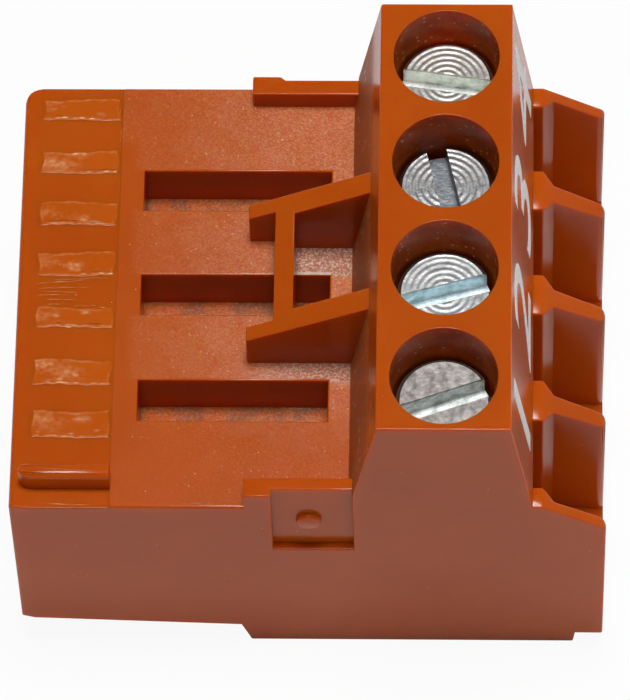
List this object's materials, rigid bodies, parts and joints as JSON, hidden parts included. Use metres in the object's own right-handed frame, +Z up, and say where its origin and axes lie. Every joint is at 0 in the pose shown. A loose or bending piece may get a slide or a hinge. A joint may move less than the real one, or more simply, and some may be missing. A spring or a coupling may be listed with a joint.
{
  "type": "pluggable terminal block",
  "caption": "Straight pluggable screw terminal block: fork contacts for a pin header at one end, open wire tray at the other, clamping yokes driven by slotted screws from above.",
  "frame": {"origin": "middle of the underside of the foot, at the centre of the bounding box's base", "axes": "+X from the mating face towards the wire entries, +Y along the row of poles, +Z up along the clamp screws"},
  "size_m": [0.0248, 0.0204, 0.0192],
  "materials": {
    "housing_plastic": "semi-gloss moulded polyester with a sparkled deck",
    "screw_steel": "turned, zinc plated",
    "yoke_steel": "stamped and bent, zinc plated",
    "contact_metal": "tinned copper alloy",
    "spring_steel": "bright spring steel"
  },
  "bodies": {
    "housing": {"housing": "housing_plastic", "contact_1": "contact_metal", "contact_2": "contact_metal", "contact_3": "contact_metal", "contact_4": "contact_metal", "overspring_1": "spring_steel", "overspring_2": "spring_steel", "overspring_3": "spring_steel", "overspring_4": "spring_steel"},
    "screw_1": {"clamp_screw_1": "screw_steel"},
    "screw_2": {"clamp_screw_2": "screw_steel"},
    "screw_3": {"clamp_screw_3": "screw_steel"},
    "screw_4": {"clamp_screw_4": "screw_steel"},
    "yoke_1": {"clamp_yoke_1": "yoke_steel"},
    "yoke_2": {"clamp_yoke_2": "yoke_steel"},
    "yoke_3": {"clamp_yoke_3": "yoke_steel"},
    "yoke_4": {"clamp_yoke_4": "yoke_steel"}
  },
  "joints": [
    {"name": "screw_1_turn", "type": "hinge", "parent": "housing", "child": "screw_1", "pos_m": [0.00568, -0.00762, 0.01512], "axis": [0, 0, -1], "range_deg": [0, 1800]},
    {"name": "yoke_1_rise", "type": "slide", "parent": "housing", "child": "yoke_1", "axis": [0, 0, 1], "range_m": [0, 0.00225]},
    {"name": "screw_2_turn", "type": "hinge", "parent": "housing", "child": "screw_2", "pos_m": [0.00568, -0.00254, 0.01512], "axis": [0, 0, -1], "range_deg": [0, 1800]},
    {"name": "yoke_2_rise", "type": "slide", "parent": "housing", "child": "yoke_2", "axis": [0, 0, 1], "range_m": [0, 0.00225]},
    {"name": "screw_3_turn", "type": "hinge", "parent": "housing", "child": "screw_3", "pos_m": [0.00568, 0.00254, 0.01512], "axis": [0, 0, -1], "range_deg": [0, 1800]},
    {"name": "yoke_3_rise", "type": "slide", "parent": "housing", "child": "yoke_3", "axis": [0, 0, 1], "range_m": [0, 0.00225]},
    {"name": "screw_4_turn", "type": "hinge", "parent": "housing", "child": "screw_4", "pos_m": [0.00568, 0.00762, 0.01512], "axis": [0, 0, -1], "range_deg": [0, 1800]},
    {"name": "yoke_4_rise", "type": "slide", "parent": "housing", "child": "yoke_4", "axis": [0, 0, 1], "range_m": [0, 0.00225]}
  ],
  "couplings": [
    {"joint": "screw_1_turn", "follows": "yoke_1_rise", "rad_per_m": 13963},
    {"joint": "screw_2_turn", "follows": "yoke_2_rise", "rad_per_m": 13963},
    {"joint": "screw_3_turn", "follows": "yoke_3_rise", "rad_per_m": 13963},
    {"joint": "screw_4_turn", "follows": "yoke_4_rise", "rad_per_m": 13963}
  ]
}
